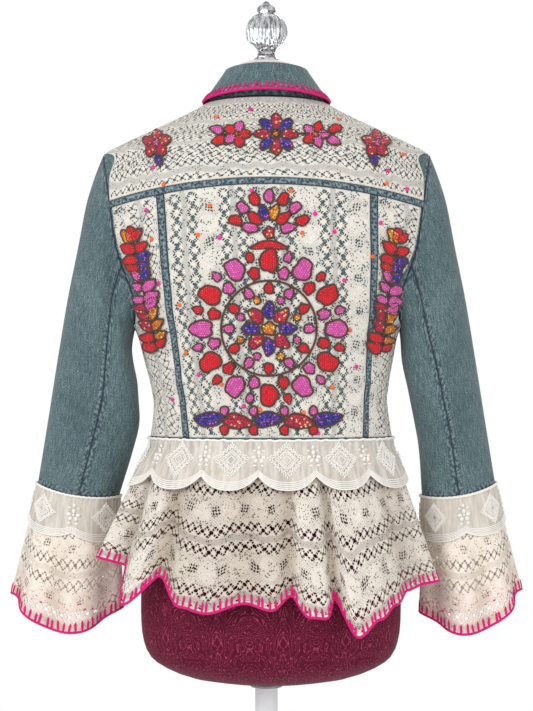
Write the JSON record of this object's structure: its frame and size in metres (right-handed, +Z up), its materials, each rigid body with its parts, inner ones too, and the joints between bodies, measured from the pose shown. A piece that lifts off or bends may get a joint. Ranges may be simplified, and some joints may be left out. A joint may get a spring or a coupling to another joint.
{
  "type": "denim jacket on a dress form",
  "caption": "Fitted denim jacket with crochet lace overlays, beaded appliques, scalloped trim, lace peplum and bell cuffs, on a limbless dress form with a pole stand.",
  "frame": {"origin": "on the floor at the centre of the stand's base, on its underside", "axes": "+Z up along the pole, +Y where the wearer's front faces, +X to the wearer's right; a look along +Y shows the jacket's back"},
  "size_m": [0.6768, 0.33, 1.5459],
  "materials": {
    "denim": "washed stretch denim, grey-blue twill with pale wear along seams",
    "lace": "matt cotton crochet lace, ivory",
    "cuff_lace": "matt cotton crochet lace, warm ivory",
    "organza": "sheer embroidered organza, pale cream",
    "applique": "glass seed beads and sequins on felt, brown cord outline",
    "button_metal": "aged copper shank button",
    "brocade": "satin brocade, burgundy with a paler woven scroll",
    "neck_cap": "pale satin over a wooden cap",
    "crystal": "clear cut glass, polished",
    "stand_paint": "off-white powder coat",
    "flange_metal": "brushed steel",
    "pink_yarn": "hot pink cotton embroidery yarn"
  },
  "bodies": {
    "root": {"back_side_left": "denim", "back_centre": "denim", "back_side_right": "denim", "yoke_back": "denim", "yoke_band": "denim", "back_band_left": "denim", "back_band_right": "denim", "front_left": "denim", "front_right": "denim", "placket": "denim", "collar_stand": "denim", "collar_fall": "denim", "sleeve_left_top": "denim", "sleeve_left_under": "denim", "sleeve_right_top": "denim", "sleeve_right_under": "denim", "back_side_lace_left": "lace", "back_centre_lace": "lace", "back_side_lace_right": "lace", "yoke_lace": "lace", "peplum_front_right": "lace", "peplum_front_left": "lace", "peplum_back": "lace", "cuff_flounce_left_a": "cuff_lace", "cuff_flounce_left_b": "cuff_lace", "cuff_flounce_right_a": "cuff_lace", "cuff_flounce_right_b": "cuff_lace", "waist_trim": "organza", "cuff_trim_left": "organza", "cuff_trim_right": "organza", "applique_rosette": "applique", "applique_crest": "applique", "applique_shoulder_left": "applique", "applique_shoulder_right": "applique", "applique_garland": "applique", "applique_yoke": "applique", "applique_side_left": "applique", "applique_side_right": "applique", "applique_wreath": "applique", "button_1": "button_metal", "button_2": "button_metal", "button_3": "button_metal", "button_4": "button_metal", "button_5": "button_metal", "button_6": "button_metal", "form_body": "brocade", "form_neck_cap": "neck_cap", "finial": "crystal", "pole": "stand_paint", "base": "stand_paint", "form_flange": "flange_metal"}
  },
  "joints": []
}
